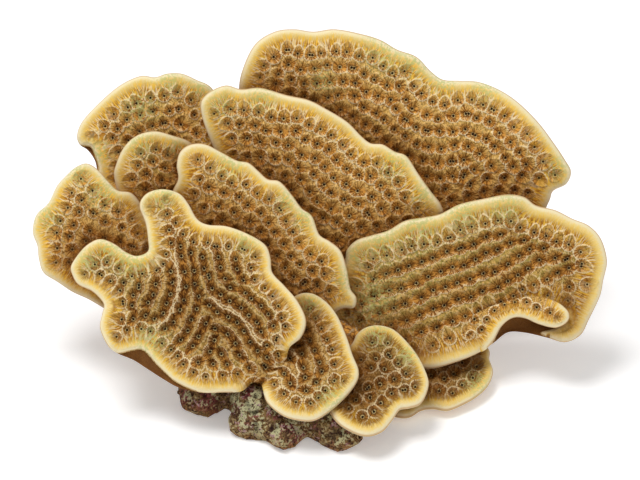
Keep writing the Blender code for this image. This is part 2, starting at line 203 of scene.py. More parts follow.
# band: mm from the edge to the middle of the first row of cups
# pitch: mm between the cups of a row; row: mm between the rows; valley: mm that the rows sink between ridges
# rim_width: how wide the cream rim is, next to that of the others
# olive: how green the slopes above the cups are
# merged: how far the cups of a row run into one another, deep inside the frond
# shade: painted shade, how much darker the frond is just inside its rim, and deep inside it, where less light
# reaches
# the key for painted shade from the fronds before it: how much they darken it, next to the others
# rim, rows: the first and the last of the margin's points that have a rim, and that the rows run along
# axes: lines that the rows run along, further than the first row from the edge
# fold: the margin's points that a fold runs past, and the points that the rim takes in their place
# lifts: x, y, radius and height in mm of the places where two fronds that grow as one are brought together
# green: x, y and radius in mm of the places where living green shows
FINISH = {
    "frond_back_right": {
        "band": 8.6, "pitch": 5.2, "row": 6.2, "valley": 0.6, "olive": 0.3, "shade": (0.0, 0.0),
        "green": ((46, 144, 9), (58, 139, 7), (70, 131, 6), (88, 128, 6), (20, 131, 5), (118, 95, 5)),
    },
    "frond_middle_back": {
        "band": 8.8, "pitch": 5.4, "row": 5.9, "valley": 0.4, "olive": 0.15, "shade": (0.0, 0.1),
        "green": ((-22, 121, 6), (-6, 124, 6), (50, 96, 6), (62, 84, 5)),
    },
    "frond_right": {
        "band": 10.4, "pitch": 5.2, "row": 6.9, "valley": 1.4, "olive": 0.9, "merged": 0.3,
        "shade": (0.2, 0.25), "rim": (26, 23), "rows": (0, 17),
        "axes": (
            ((20, -16), (40, -6), (58, 3), (77, 10), (88, 14), (104, 20), (117, 27), (132, 34), (150, 42)),
        ),
        "fold": (
            23,
            25,
            ((115, 23.5), (111, 26), (117, 28), (120, 32), (110, 36), (104, 36), (97, 34), (92.5, 28)),
        ),
        "green": ((45, 64, 9), (60, 70, 9), (78, 76, 8), (34, 58, 6), (96, 79, 7), (40, 40, 10)),
    },
    "frond_right_lip": {
        "band": 5.6, "pitch": 4.2, "row": 4.4, "valley": 0.3, "olive": 0.2,
        "shade": (0.1, 0.1), "rim": (7, 14), "lifts": ((85.5, 17.5, 6, -2.6),), "green": (),
    },
    "frond_middle_front": {
        "band": 8.4, "pitch": 5.3, "row": 5.8, "valley": 0.4, "olive": 0.15, "shade": (0.0, 0.15),
        "green": ((5, 81, 5), (12, 74, 5), (-19, 96, 6), (30, 48, 5)),
    },
    "frond_upper_left": {
        "band": 8.6, "pitch": 5.2, "row": 5.8, "valley": 0.3, "olive": 0.45, "painted_shade": 0.4,
        "shade": (0.0, 0.0),
        "fold": (20, 21, ((-73.5, 95), (-75, 100), (-77, 103.5))),
        "green": ((-44, 131, 6), (-56, 120, 7), (-73, 101, 6), (-31, 128, 5)),
    },
    "frond_small_left": {
        "band": 7.8, "pitch": 5.2, "row": 5.8, "valley": 0.3, "olive": 0.5, "shade": (0.0, 0.05),
        "green": ((-56, 105, 6), (-42, 104, 4)),
    },
    "frond_front_left": {
        "band": 8.2, "pitch": 4.6, "row": 6.3, "valley": 1.3, "olive": 0.5, "merged": 0.6,
        "shade": (0.25, 0.45), "rim": (31, 25),
        "axes": (
            ((-40, 82), (-39, 62), (-37, 49), (-38, 41), (-40, 35), (-43, 29), (-48, 25)),
            ((-33, 78), (-31, 66), (-30, 58), (-29, 51), (-27, 45), (-22, 41), (-15, 37), (-10, 33), (-4, 24),
             (0, 17)),
        ),
        "lifts": ((1, 10, 8, 5),),
        "fold": (33, 36, ((-40.5, 5), (-45.5, 9), (-50, 13.5), (-53, 17), (-56, 19), (-60, 18.5))),
        "green": ((-47, 83, 6), (-60, 57, 9), (-69, 61, 6), (-52, 22, 7), (-78, 56, 5), (-12, 64, 5)),
    },
    "frond_left": {
        "band": 8.0, "pitch": 5.1, "row": 5.7, "valley": 0.3, "olive": 0.3, "shade": (0.0, 0.15),
        "green": ((-72, 84, 7), (-95, 74, 6), (-82, 92, 5)),
    },
    "frond_front_middle": {
        "band": 7.6, "pitch": 4.6, "row": 6.2, "valley": 1.0, "olive": 0.3, "merged": 0.45,
        "shade": (0.3, 0.4), "rim": (3, 16), "lifts": ((-6, 4, 8, -4.5),),
        "green": ((14, 38, 5), (24, -2, 6)),
    },
    "frond_small_right": {
        "band": 7.4, "pitch": 5.1, "row": 5.6, "valley": 0.3, "olive": 0.25, "rim_width": 0.8,
        "shade": (0.55, 0.7), "green": ((42, 25, 6), (56, 16, 5)),
    },
    "frond_lower_right": {
        "band": 6.8, "pitch": 5.0, "row": 5.5, "valley": 0.3, "olive": 0.2, "rim_width": 0.5,
        "shade": (0.58, 0.52), "painted_shade": 0.8, "green": ((84, 4, 5),),
    },
}

MARGIN_STEP = 0.6  # mm between the points of a frond's fine edge
OUTLINE_STEP = 3.0  # mm, the same where only its rough course matters
RIM_RINGS = (0.1, 0.4, 0.9, 1.6)  # mm in from the edge, where the rows of points that round it lie
BACK_STEP = 0.95  # mm between the points of a frond's underside
FOLD_DROP = 3.0  # mm that the outer edge of a fold lies behind the rim
FOLD_EDGE = 9.0  # mm added to the distance shown on a fold, so that no rim shows there
CUP_SPOTS = 0.7  # mm between the places that a cup can take
CUPS_FROM = 1.5  # mm from the rim, where these places begin
INTO_BAND = 1.6  # mm that a cup may lie nearer to the edge than the middle of the first row
IN_LINE = 0.45  # mm from the middle of a row, where its cups are placed before those that fill gaps
CLOSEST, CLOSEST_ROWS = 0.97, 0.9  # pitches that two cups keep apart, in one row and in two
SETTLE_ROUNDS, SETTLE_SPAN, SETTLE_STEP = 30, 1.25, 0.2  # how the cups of neighbouring rows slide apart
JITTER = 0.38  # mm, how unevenly the cups lie
SIZE_SPREAD, SMALLEST, LARGEST = 0.12, 0.68, 1.24  # how much the cups differ in size
AXIS_FROM = 0.55  # rows past the first, where the rows begin to run along the frond's axes if it has any
WAVE_OF_ROWS = 1.0  # mm that the rows along an axis wander to either side
WAVE_OF_BAND = 2.4  # mm that the rows along the edge wander to either side
LEAN_OF_CUPS = 0.25  # how much further a cup reaches toward the edge than toward the root
CUP_WIDTH = 0.54  # half the width of a cup, as a share of the distance between the cups of a row
CUP_ABOVE = 0.7  # how far it reaches toward the edge, as a share of the distance between rows
CUP_BELOW = 0.43  # how far it reaches toward the root, the same way
POINTED = 0.5  # how pointed its top is
DOUBLED = 0.93  # a cup whose tone is over this has two mouths
TWIN_GAP = 0.55  # mm from the middle of such a cup to each mouth
LIP_TOP, LIP_END = 1.6, 7.5  # mm from the edge, where the rolled lip is highest and where it ends
BOWL_FLOOR = 0.42  # how far inside its wall a cup reaches its full depth, as a share of the pitch
MOUTH_DEPTH, MOUTH_WIDTH = 0.5, 0.42  # mm, the pit in the middle of a cup
CREST_ABOVE, CREST_BELOW = 0.12, 0.34  # mm that a cup's wall stands up, above and below the mouth
CREST_WIDTH = 0.26  # mm, half the width of a wall
SUNK_BETWEEN = 0.3  # mm that the surface sinks between the cups
FOLD_THINNED = 0.9  # mm that a fold is thinner than the rest
CRUST_DIVES, CRUST_DROPS = 2.6, 1.6  # mm that the crust's lower edge goes into the stone, and down
TILE = 9.0  # mm, side of the squares that points are worked on in
CHUNK = 1500  # points worked on at a time


# ---- Numbers over many points -------------------------------------------------------------------------


def ease(low, high, value):
    """0 up to low, 1 from high, and a smooth rise between them."""
    share = np.clip((value - low) / (high - low), 0, 1)
    return share * share * (3 - 2 * share)


def noise_at(points, wavelength, seed=0):
    """Smooth noise from -1 to 1 at points of two or three coordinates."""
    shift = Vector((seed * 17.3, seed * 5.1, seed * 9.7))
    size = len(points[0])
    return np.array([
        noise.noise(Vector((*point, 0) if size == 2 else point) / wavelength + shift)
        for point in points.tolist()
    ])


def curve_through(points, step):
    """Closed smooth curve through the points, as points about one step apart."""
    points = np.array(points, float)
    spans = []
    for before, start, end, after in zip(
        np.roll(points, 1, axis=0), points, np.roll(points, -1, axis=0), np.roll(points, -2, axis=0)
    ):
        parts = max(1, round(np.linalg.norm(end - start) / step))
        t = np.arange(parts)[:, None] / parts
        spans.append(
            start
            + (end - before) * (t * (1 - t) ** 2 / 2)
            + (end - start) * (t * t * (3 - 2 * t))
            - (after - start) * (t * t * (1 - t) / 2)
        )
    return np.concatenate(spans)


def line_through(points, step):
    """Open line through the points, as points one step apart."""
    points = np.array(points, float)
    reach = np.cumsum(np.linalg.norm(np.diff(points, axis=0, prepend=points[:1]), axis=1))
    spots = np.arange(0, reach[-1], step)
    return np.stack([np.interp(spots, reach, column) for column in points.T], axis=1)


def is_inside(points, loop):
    """Whether the loop goes round each point."""
    x, y = points.T
    found = np.zeros(len(points), bool)
    for (x0, y0), (x1, y1) in zip(np.roll(loop, 1, axis=0), loop):
        if y0 != y1:
            crossing = x0 + (x1 - x0) * (y - y0) / (y1 - y0)
            found ^= ((y0 > y) != (y1 > y)) & (x < crossing)
    return found


def nearest_corner(points, corners):
    """Index of the corner nearest to each point."""
    lengths = (corners**2).sum(axis=1)
    parts = [
        (lengths - 2 * points[first:first + CHUNK] @ corners.T).argmin(axis=1)
        for first in range(0, len(points), CHUNK)
    ]
    return np.concatenate(parts)


def nearest_on(points, loop):
    """Distance from each point to the loop, and how far round the loop its nearest place is."""
    sides = np.roll(loop, -1, axis=0) - loop
    lengths = np.linalg.norm(sides, axis=1)
    starts = np.cumsum(lengths) - lengths
    corner = nearest_corner(points, loop)
    distance = np.full(len(points), np.inf)
    along = np.zeros(len(points))
    for side in (corner - 1, corner):
        from_start = points - loop[side]
        share = np.clip((from_start * sides[side]).sum(axis=1) / lengths[side] ** 2, 0, 1)
        gap = np.linalg.norm(from_start - sides[side] * share[:, None], axis=1)
        closer = gap < distance
        distance = np.where(closer, gap, distance)
        along = np.where(closer, starts[side] + lengths[side] * share, along)
    return distance, along


def grid_in(loop, step):
    """Points of a triangular grid over the box that the loop fills."""
    low, high = loop.min(axis=0), loop.max(axis=0)
    row_step = step * math.sqrt(3) / 2
    rows, columns = (int(n) + 2 for n in (high - low)[::-1] / (row_step, step))
    row, column = np.mgrid[0:rows, 0:columns].reshape(2, -1)
    return np.stack((low[0] + (column + row % 2 / 2) * step, low[1] + row * row_step), axis=1)


# ---- The shape of a frond -----------------------------------------------------------------------------


def depth_at(frond, points):
    """Depth of a frond's middle surface, mm toward the far point."""
    across, along = (points - frond["middle"]).T
    depth = frond["depth"] + frond["slope"][0] * across + frond["slope"][1] * along
    depth = depth + frond["dish"][0] * across**2 + frond["dish"][1] * along**2
    height, number, turn = frond["waves"]
    reach = np.minimum(np.hypot(across, along) / 45, 1.3)
    depth += height * reach**2 * np.sin(number * np.arctan2(along, across) + turn)
    from_root = np.linalg.norm(points - frond["root"], axis=1)
    return depth - frond["dip"] * np.exp(-((from_root / ROOT_REACH) ** 2) / 2)


def place(points, depth):
    """The places in space, mm, of points on the drawing plane and their depths."""
    on_plane = points[:, :1] * (1, 0, 0) + points[:, 1:] * UP
    far_point = np.array((AIM[0], 0, 0)) + UP * AIM[1] + OUT * SIGHT
    return on_plane + (far_point - on_plane) * (depth / SIGHT)[:, None]


def middle_surface(frond, points, drop):
    """Places in space of a frond's middle surface, mm, less a drop, and its normals toward the front."""
    step = 0.05
    here = place(points, depth_at(frond, points))
    right, up = (
        place(points + shift, depth_at(frond, points + shift)) - here for shift in ((step, 0), (0, step))
    )
    here = place(points, depth_at(frond, points) - drop)
    normals = np.cross(right, up)
    return here, normals / np.linalg.norm(normals, axis=1, keepdims=True)


def rim_of(name):
    """The curve that a frond's rim follows: its margin, drawn in where the edge is folded back."""
    margin = list(FRONDS[name]["margin"])
    if "fold" in FINISH[name]:
        first, last, line = FINISH[name]["fold"]
        margin[first:last + 1] = line
    return curve_through(margin, MARGIN_STEP)


def stretch_of(name, key, curve):
    """Which points of a curve belong to the stretch of margin that FINISH gives under a key; all if none."""
    first, last = FINISH[name].get(key, (0, len(FRONDS[name]["margin"]) - 1))
    corner = nearest_corner(curve, np.array(FRONDS[name]["margin"], float))
    if first > last:
        return (corner >= first) | (corner <= last)
    return (corner >= first) & (corner <= last)


def from_rim(points, rim, rimmed):
    """Distance inside the rim, less than 0 on a fold outside it; how far round; and the distance shown.

    The last one only counts the stretch that has a rim, so no rim or band shows on the rest.
    """
    distance, along = nearest_on(points, rim)
    lift = 0
    if not rimmed.all():
        nearest, shown = (line[nearest_corner(points, line)] for line in (rim, rim[rimmed]))
        lift = np.linalg.norm(points - shown, axis=1) - np.linalg.norm(points - nearest, axis=1)
    signed = np.where(is_inside(points, rim), distance, -distance)
    return signed, along, distance + lift**2 / (lift + 2)


def hidden_behind(name, points, outlines):
    """Which points of a frond another frond covers, seen square to the drawing plane."""
    depth = depth_at(FRONDS[name], points)
    covered = np.zeros(len(points), bool)
    for other, loop in outlines.items():
        if other != name:
            covered |= is_inside(points, loop) & (depth_at(FRONDS[other], points) > depth)
    return covered


def painted_shade_at(name, points, outlines, reach):
    """Painted shade at each point of a frond, 0 to 1: how shut in it is by the rims of the fronds in front of
    it.
    """
    depth = depth_at(FRONDS[name], points)
    painted_shade = np.zeros(len(points))
    for other, loop in outlines.items():
        if other == name:
            continue
        rim = loop[stretch_of(other, "rim", loop)]
        corner = nearest_corner(points, rim)
        gap = np.linalg.norm(points - rim[corner], axis=1)
        in_front = ease(0.3, 4, depth_at(FRONDS[other], rim[corner]) - depth)
        painted_shade = np.maximum(painted_shade, in_front * np.exp(-gap / reach))
    return painted_shade


# ---- The cups -----------------------------------------------------------------------------------------


class Cups:
    """The cups of one frond: where each is, which way its open side faces and its size."""

    def __init__(self, name, spots, shown, guide):
        finish = FINISH[name]
        self.pitch, self.row, self.band = finish["pitch"], finish["row"], finish["band"]
        self.random = np.random.default_rng(sum(map(ord, name)))
        self.guide = guide
        self.axes = [line_through(points, MARGIN_STEP) for points in finish.get("axes", ())]
        self.middles = self.in_rows(spots[shown > self.band - INTO_BAND])
        _, _, self.outward = self.follow(self.middles)
        self.settle()
        self.middles += self.random.normal(0, JITTER, self.middles.shape)
        self.size = np.clip(self.random.normal(1, SIZE_SPREAD, len(self.middles)), SMALLEST, LARGEST)
        self.tone = self.random.random(len(self.middles))
        from_edge = shown[nearest_corner(self.middles, spots)]
        self.merged = finish.get("merged", 0) * ease(self.band + 1.5, self.band + 5, from_edge)

    def follow(self, spots):
        """How many rows in each spot lies, how far along its row, and which way a cup there opens."""
        corner = nearest_corner(spots, self.guide)
        outward = self.guide[corner] - spots
        distance = np.linalg.norm(outward, axis=1) + WAVE_OF_BAND * noise_at(self.guide, 13.0, 11)[corner]
        level = (distance - self.band) / self.row
        if self.axes:
            deep = level > AXIS_FROM
            axis = np.concatenate(self.axes)
            near = nearest_corner(spots, axis)
            off = spots - axis[near]
            ahead = np.concatenate([np.gradient(line, axis=0) for line in self.axes])[near]
            across = np.stack((-ahead[:, 1], ahead[:, 0]), axis=1) / MARGIN_STEP
            off += WAVE_OF_ROWS * np.stack((noise_at(spots, 15.0, 6), noise_at(spots, 15.0, 7)), axis=1)
            level = np.where(deep, 100 + np.linalg.norm(off, axis=1) / self.row, level)
            corner = np.where(deep, near, corner)
            outward = np.where(deep[:, None], off + across, outward)
        return level, corner, outward / np.linalg.norm(outward, axis=1, keepdims=True)

    def in_rows(self, spots):
        """Places in rows that follow the guide or the axes, with any wide gap between the rows filled."""
        level, corner, _ = self.follow(spots)
        row = np.round(level)
        in_line = np.abs(level - row) * self.row < IN_LINE
        chosen = np.full((len(spots), 2), np.inf)
        rows = np.full(len(spots), -1)
        count = 0
        walk = np.lexsort((corner, row))
        for number in np.concatenate((walk[in_line[walk]], walk)):
            reach = np.linalg.norm(chosen[:count] - spots[number], axis=1)
            same = rows[:count] == row[number]
            if (reach > self.pitch * np.where(same, CLOSEST, CLOSEST_ROWS)).all():
                chosen[count], rows[count] = spots[number], row[number]
                count += 1
        return chosen[:count]

    def settle(self):
        """Slides neighbours apart along their rows until each lies between two of the next row."""
        span = SETTLE_SPAN * max(self.row, self.pitch)
        for _ in range(SETTLE_ROUNDS):
            gaps = self.middles[:, None] - self.middles[None]
            reach = np.linalg.norm(gaps, axis=2) + np.eye(len(gaps)) * 1e6
            push = np.clip(1 - reach / span, 0, None) / reach
            force = (gaps * push[..., None]).sum(axis=1)
            across = (force * self.outward).sum(axis=1, keepdims=True) * self.outward
            self.middles = self.middles + (force - across) * self.pitch * SETTLE_STEP

    def offsets(self, points, owner):
        """Each point's place in its owner's own frame: along the row, and toward the edge."""
        gap = points - self.middles[owner]
        outward = self.outward[owner]
        return np.stack((gap[..., 0] * outward[..., 1] - gap[..., 1] * outward[..., 0],
                         (gap * outward).sum(axis=-1)), axis=-1)

    def in_tiles(self, points):
        """Small groups of points, each with the cups that lie near enough to matter to it."""
        tile = np.floor(points / TILE)
        order = np.lexsort(tile.T)
        starts = np.flatnonzero(np.any(np.diff(tile[order], axis=0, prepend=np.inf), axis=1))
        for group in np.split(order, starts[1:]):
            gap = np.linalg.norm(self.middles - (tile[group[0]] + 0.5) * TILE, axis=1)
            yield group, np.argsort(gap)[:max(12, (gap < TILE * 0.7 + 2.2 * self.row).sum())]

    def reach(self, gap, outward, size):
        """How far a place lies from a cup, less toward the cup's open side."""
        distance = np.linalg.norm(gap, axis=-1)
        facing = (gap * outward).sum(axis=-1) / np.maximum(distance, 1e-9)
        return distance / (size * (1 + LEAN_OF_CUPS * facing))

    def nearest_two(self, points):
        """The cup that each point belongs to, and the next."""
        owners, others = np.empty((2, len(points)), int)
        for group, cups in self.in_tiles(points):
            gaps = points[group][:, None] - self.middles[cups]
            reach = self.reach(gaps, self.outward[cups], self.size[cups])
            first, second = np.argsort(reach, axis=1)[:, :2].T
            owners[group], others[group] = cups[first], cups[second]
        return owners, others

    def own_reach(self, points, cup):
        """How far each point lies from one cup of its own, in that cup's measure."""
        return self.reach(points - self.middles[cup], self.outward[cup], self.size[cup])

    def inset(self, points, owner):
        """How far inside the rounded wall of its cup each point lies, mm; less than 0 between the cups."""
        side, out = np.moveaxis(self.offsets(points, owner), -1, 0)
        width = self.size[owner] * self.pitch * CUP_WIDTH
        side = np.abs(side) / width
        above = out * math.sqrt(1 + 2 * POINTED) / (self.size[owner] * self.row * CUP_ABOVE)
        below = out / (self.size[owner] * self.row * CUP_BELOW)
        ogive = 1 + POINTED - np.hypot(side + POINTED, above)
        return width * np.where(out > 0, ogive, 1 - np.hypot(side, below))

    def wall_at(self, points, owner, other):
        """How far inside its cup each point lies, mm, where neighbours press the rounded walls flat."""
        border = (self.own_reach(points, other) - self.own_reach(points, owner)) / 2
        alone = np.minimum(border, self.inset(points, owner))
        in_row = 0.4 * self.row - np.abs(self.offsets(points, owner)[..., 1])
        return alone + (in_row - alone) * self.merged[owner]

    def snapped(self, points, step):
        """The points, with those beside a wall moved onto it and the nearest to each cup onto its middle."""
        owner, other = self.nearest_two(points)
        wall = self.wall_at(points, owner, other)
        nudge = 0.02
        slope = np.stack([
            (self.wall_at(points + shift, owner, other) - wall) / nudge for shift in ((nudge, 0), (0, nudge))
        ], axis=1)
        move = -slope * (wall / np.maximum((slope**2).sum(axis=1), 1e-9))[:, None]
        close = np.linalg.norm(move, axis=1) < 0.5 * step
        points = np.where(close[:, None], points + move, points)
        for middle in self.middles:
            gap = np.linalg.norm(points - middle, axis=1)
            if gap.min() < step:
                points[gap.argmin()] = middle
        return points


# ---- Meshes -------------------------------------------------------------------------------------------


def triangles_in(loop, points):
    """Triangles of the sheet that the loop bounds, through the loop's points and then the others."""
    every = np.concatenate((loop, points))
    sides = [(index, (index + 1) % len(loop)) for index in range(len(loop))]
    found, _, faces, *_ = geometry.delaunay_2d_cdt([Vector(p) for p in every.tolist()], sides, [], 1, 1e-6)
    if len(found) != len(every):
        raise RuntimeError("two points of a frond fall in one place")
    faces = np.array(faces)
    first, second, third = (every[faces[:, corner]] for corner in range(3))
    turn = np.cross(second - first, third - first)
    faces[turn < 0] = faces[turn < 0][:, ::-1]
    return faces


def rings_in(loop, insets):
    """Rows of points that follow the loop at some distances inside it, or outside where less than 0."""
    ahead = np.roll(loop, -1, axis=0) - np.roll(loop, 1, axis=0)
    inward = np.stack((ahead[:, 1], -ahead[:, 0]), axis=1)
    inward /= np.linalg.norm(inward, axis=1, keepdims=True)
    rings = []
    for inset in insets:
        ring = loop + inward * inset
        distance, _ = nearest_on(ring, loop)
        rings.append(ring[distance >= abs(inset) * 0.93])
    return np.concatenate(rings)


def edge_points(loop, rim):
    """Rows of points along a frond's edge: round its rim, and round the outside of any fold."""
    outer = rings_in(loop, RIM_RINGS)
    distance, _ = nearest_on(outer, rim)
    from_edge, _ = nearest_on(outer, loop)
    outer = outer[(np.abs(distance - from_edge) < 0.05) | (~is_inside(outer, rim) & (distance > 0.5))]
    inner = rings_in(rim, (-0.4, 0, *RIM_RINGS))
    distance, _ = nearest_on(inner, loop)
    from_rim_line, _ = nearest_on(inner, rim)
    folded = is_inside(inner, loop) & (distance > 0.4) & (distance - from_rim_line > 0.3)
    return np.concatenate((outer, inner[folded]))


def spots_in(loop, step):
    """Evenly spaced points inside the loop's rounded rim."""
    spots = grid_in(loop, step)
    spots = spots[is_inside(spots, loop)]
    distance, _ = nearest_on(spots, loop)
    return spots[distance > RIM_RINGS[-1] + 0.5 * step]


def mesh_object(name, points, faces):
    """A smooth object of points in mm and triangles."""
    mesh = bpy.data.meshes.new(name)
    mesh.from_pydata((points * MM).tolist(), [], faces.tolist())
    mesh.shade_smooth()
    obj = bpy.data.objects.new(name, mesh)
    bpy.context.collection.objects.link(obj)
    return obj


def write_triples(obj, name, domain, *columns):
    """Stores three numbers at each point or face corner, for the material to read."""
    made = obj.data.attributes.new(name, "FLOAT_VECTOR", domain)
    made.data.foreach_set("vector", np.stack(columns, axis=-1).astype(np.float32).ravel())


def rounded(distance, half):
    """Height of a round edge of a half thickness, at some distance inside it."""
    return half * np.sqrt(1 - (1 - np.clip(distance / half, 0, 1)) ** 2)


def edge_height(spots, signed, along, shown, shape):
    """How far a frond's front would stand off its middle surface without cups, mm."""
    half = shape.thickness / MM / 2
    height = rounded(signed, half) * (1 + 0.1 * noise_at(along[:, None] * (1, 0), 7.0))
    height += shape.lip / MM * ease(0.2, LIP_TOP, shown) * (1 - ease(LIP_TOP, LIP_END, shown))
    inner = ease(3, 10, shown) * ease(1, 3, signed)
    return height + inner * (0.55 * noise_at(spots, 17.0, 1) + 0.18 * noise_at(spots, 5.0, 2))


def bowl_at(wall, out, pitch):
    """How deep in its cup each point lies, 0 to 1: steep below the mouth, and with a soft start above it."""
    share = np.clip(wall / (BOWL_FLOOR * pitch), 0, 1)
    steep, soft = share * (1.5 - 0.5 * share), share * share * (3 - 2 * share)
    return steep + (soft - steep) * ease(-0.5, 1.5, out)


def front_height(name, spots, measures, cell, shape):
    """How far a frond's front stands off its middle surface, mm."""
    signed, along, shown, from_edge = measures
    wall, side, out, tone = cell
    finish = FINISH[name]
    row, band = finish["row"], finish["band"]
    near = np.hypot(np.abs(side) - np.where(tone > DOUBLED, TWIN_GAP, 0), out)
    height = edge_height(spots, signed, along, shown, shape)
    height -= shape.cup_depth / MM * bowl_at(wall, out, finish["pitch"])
    height -= MOUTH_DEPTH * np.exp(-((near / MOUTH_WIDTH) ** 2))
    height += np.exp(-((wall / CREST_WIDTH) ** 2)) * np.where(out > 0, CREST_ABOVE, CREST_BELOW)
    height -= SUNK_BETWEEN * ease(0.1, 1.0, -wall) * ease(4.5, 7.5, shown)
    valley = 1 - ease(0.12 * row, 0.44 * row, np.abs(out - 0.06 * row))
    height -= finish["valley"] * valley * ease(band + 1, band + 6, shown)
    folded = -FOLD_THINNED * ease(0, 0.5, -signed) * ease(0, 1.5, from_edge)
    return np.where(signed < 0, folded, height)


def back_height(spots, edge, root, shape):
    """How far a frond's underside stands off its middle surface, mm; low ribs run out from the root."""
    from_root = spots - root
    turn = np.arctan2(from_root[:, 1], from_root[:, 0])
    ribs = noise_at(np.stack((turn * 9, np.linalg.norm(from_root, axis=1) / 60), axis=1), 1.0, 3)
    rings = noise_at(edge[:, None] * (1, 0), 6.0, 4)
    rough = 0.45 * ribs + 0.5 * rings + 0.4 * noise_at(spots, 11.0, 8) + 0.15 * noise_at(spots, 4.0)
    return rounded(edge, shape.thickness / MM / 2) + ease(1.5, 6, edge) * rough


def cups_of(name, rim, rimmed, outlines):
    """The cups of a frond, in rows along the part of its rim that no other frond covers."""
    guide = rim[rimmed & stretch_of(name, "rows", rim) & ~hidden_behind(name, rim, outlines)]
    spots = grid_in(rim, CUP_SPOTS)
    signed, _, shown = from_rim(spots, rim, rimmed)
    inside = signed > CUPS_FROM
    return Cups(name, spots[inside], shown[inside], guide)


def bump_at(spots, x, y, reach):
    """1 at a place on the drawing plane, and less the further a spot is from it."""
    return np.exp(-((spots - (x, y)) ** 2).sum(axis=1) / reach**2)


def drop_at(name, spots, signed):
    """How far back a frond's surface is moved, mm: on a fold, and where two fronds grow as one."""
    drop = FOLD_DROP * ease(0, 6, -signed)
    for *place_and_reach, height in FINISH[name].get("lifts", ()):
        drop -= height * bump_at(spots, *place_and_reach)
    return drop


def green_at(name, spots):
    """How green a frond is at each spot, 0 to 1."""
    green = np.zeros(len(spots))
    for patch in FINISH[name]["green"]:
        green = np.maximum(green, bump_at(spots, *patch))
    return green


def store_corners(obj, name, cups, in_front, behind):
    """Stores each front corner's place in its cup, and each back corner's direction and way from the root."""
    owners, _ = cups.nearest_two(in_front.mean(axis=1))
    offsets = cups.offsets(in_front, owners[:, None].repeat(3, axis=1))
    tone = cups.tone[owners][:, None].repeat(3, axis=1)
    away = behind - FRONDS[name]["root"]
    reach = np.linalg.norm(away, axis=2) + 1e-6
    fronts = (offsets[..., 0], offsets[..., 1], tone)
    backs = (away[..., 0] / reach, away[..., 1] / reach, reach)
    write_triples(obj, "cup", "CORNER", *(np.concatenate(pair).ravel() for pair in zip(fronts, backs)))


def frond_object(name, outlines, shape):
    """The surface of one frond, with what its material reads stored on it."""
    frond = FRONDS[name]
    loop, rim = curve_through(frond["margin"], MARGIN_STEP), rim_of(name)
    rimmed = stretch_of(name, "rim", rim)
    cups = cups_of(name, rim, rimmed, outlines)

    step = shape.mesh_step / MM
    front = np.concatenate((edge_points(loop, rim), cups.snapped(spots_in(loop, step), step)))
    back = np.concatenate((rings_in(loop, RIM_RINGS), spots_in(loop, BACK_STEP)))
    spots = np.concatenate((loop, front, back))
    fronts = len(loop) + len(front)
    signed, along, shown = from_rim(spots, rim, rimmed)
    from_edge, _ = nearest_on(spots, loop)
    owner, other = cups.nearest_two(spots[:fronts])
    wall = cups.wall_at(spots[:fronts], owner, other)
    side, out = cups.offsets(spots[:fronts], owner).T

    measures = [column[:fronts] for column in (signed, along, shown, from_edge)]
    ahead = front_height(name, spots[:fronts], measures, (wall, side, out, cups.tone[owner]), shape)
    behind = -back_height(spots[fronts:], from_edge[fronts:], frond["root"], shape)
    heights = np.concatenate((ahead, behind))
    heights[:len(loop)] = 0
    here, normals = middle_surface(frond, spots, drop_at(name, spots, signed))
    front_faces = triangles_in(loop, front)
    back_faces = triangles_in(loop, back)[:, ::-1]
    back_faces = np.where(back_faces < len(loop), back_faces, back_faces + len(front))
    faces = np.concatenate((front_faces, back_faces))
    obj = mesh_object(f"{name}_surface", here + normals * heights[:, None], faces)

    folded = signed < -0.1
    under = np.where(np.arange(len(spots)) < fronts, folded, 1)
    write_triples(obj, "rim", "POINT", np.where(folded, shown + FOLD_EDGE, shown), along, under)
    # painted shade from the rims of the fronds in front, stored for the material
    painted_shade = painted_shade_at(name, spots, outlines, shape.painted_shade_reach / MM)
    walls = np.append(wall, np.zeros(len(spots) - fronts))
    write_triples(obj, "cell", "POINT", walls, painted_shade, green_at(name, spots))
    store_corners(obj, name, cups, spots[front_faces], spots[back_faces])
    return obj


def node_copy(node, name):
    """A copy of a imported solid, its loose triangles merged, ready to be worked on."""
    bpy.ops.object.select_all(action="DESELECT")
    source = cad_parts[node]
    source.select_set(True)
    bpy.context.view_layer.objects.active = source
    bpy.ops.object.duplicate()
    obj = bpy.context.view_layer.objects.active
    obj.name = obj.data.name = name
    obj.parent = None
    for key in list(obj.keys()):
        del obj[key]
    obj.data.materials.clear()
    bpy.ops.object.mode_set(mode="EDIT")
    bpy.ops.mesh.select_all(action="SELECT")
    bpy.ops.mesh.remove_doubles(threshold=0.00001)
    bpy.ops.object.mode_set(mode="OBJECT")
    return obj


def apply_modifier(obj, kind, **settings):
    """Adds a modifier to the active object and applies it."""
    modifier = obj.modifiers.new(kind.lower(), kind)
    for key, value in settings.items():
        setattr(modifier, key, value)
    bpy.ops.object.modifier_apply(modifier=modifier.name)


def places_of(obj):
    found = np.empty(len(obj.data.vertices) * 3, np.float32)
    obj.data.vertices.foreach_get("co", found)
    return found.reshape(-1, 3).astype(float) / MM


def normals_of(obj):
    found = np.empty(len(obj.data.vertices) * 3, np.float32)
    obj.data.vertex_normals.foreach_get("vector", found)
    return found.reshape(-1, 3).astype(float)


def move_points(obj, places):
    obj.data.vertices.foreach_set("co", (places * MM).astype(np.float32).ravel())
    obj.data.update()


# ---- Materials ----------------------------------------------------------------------------------------


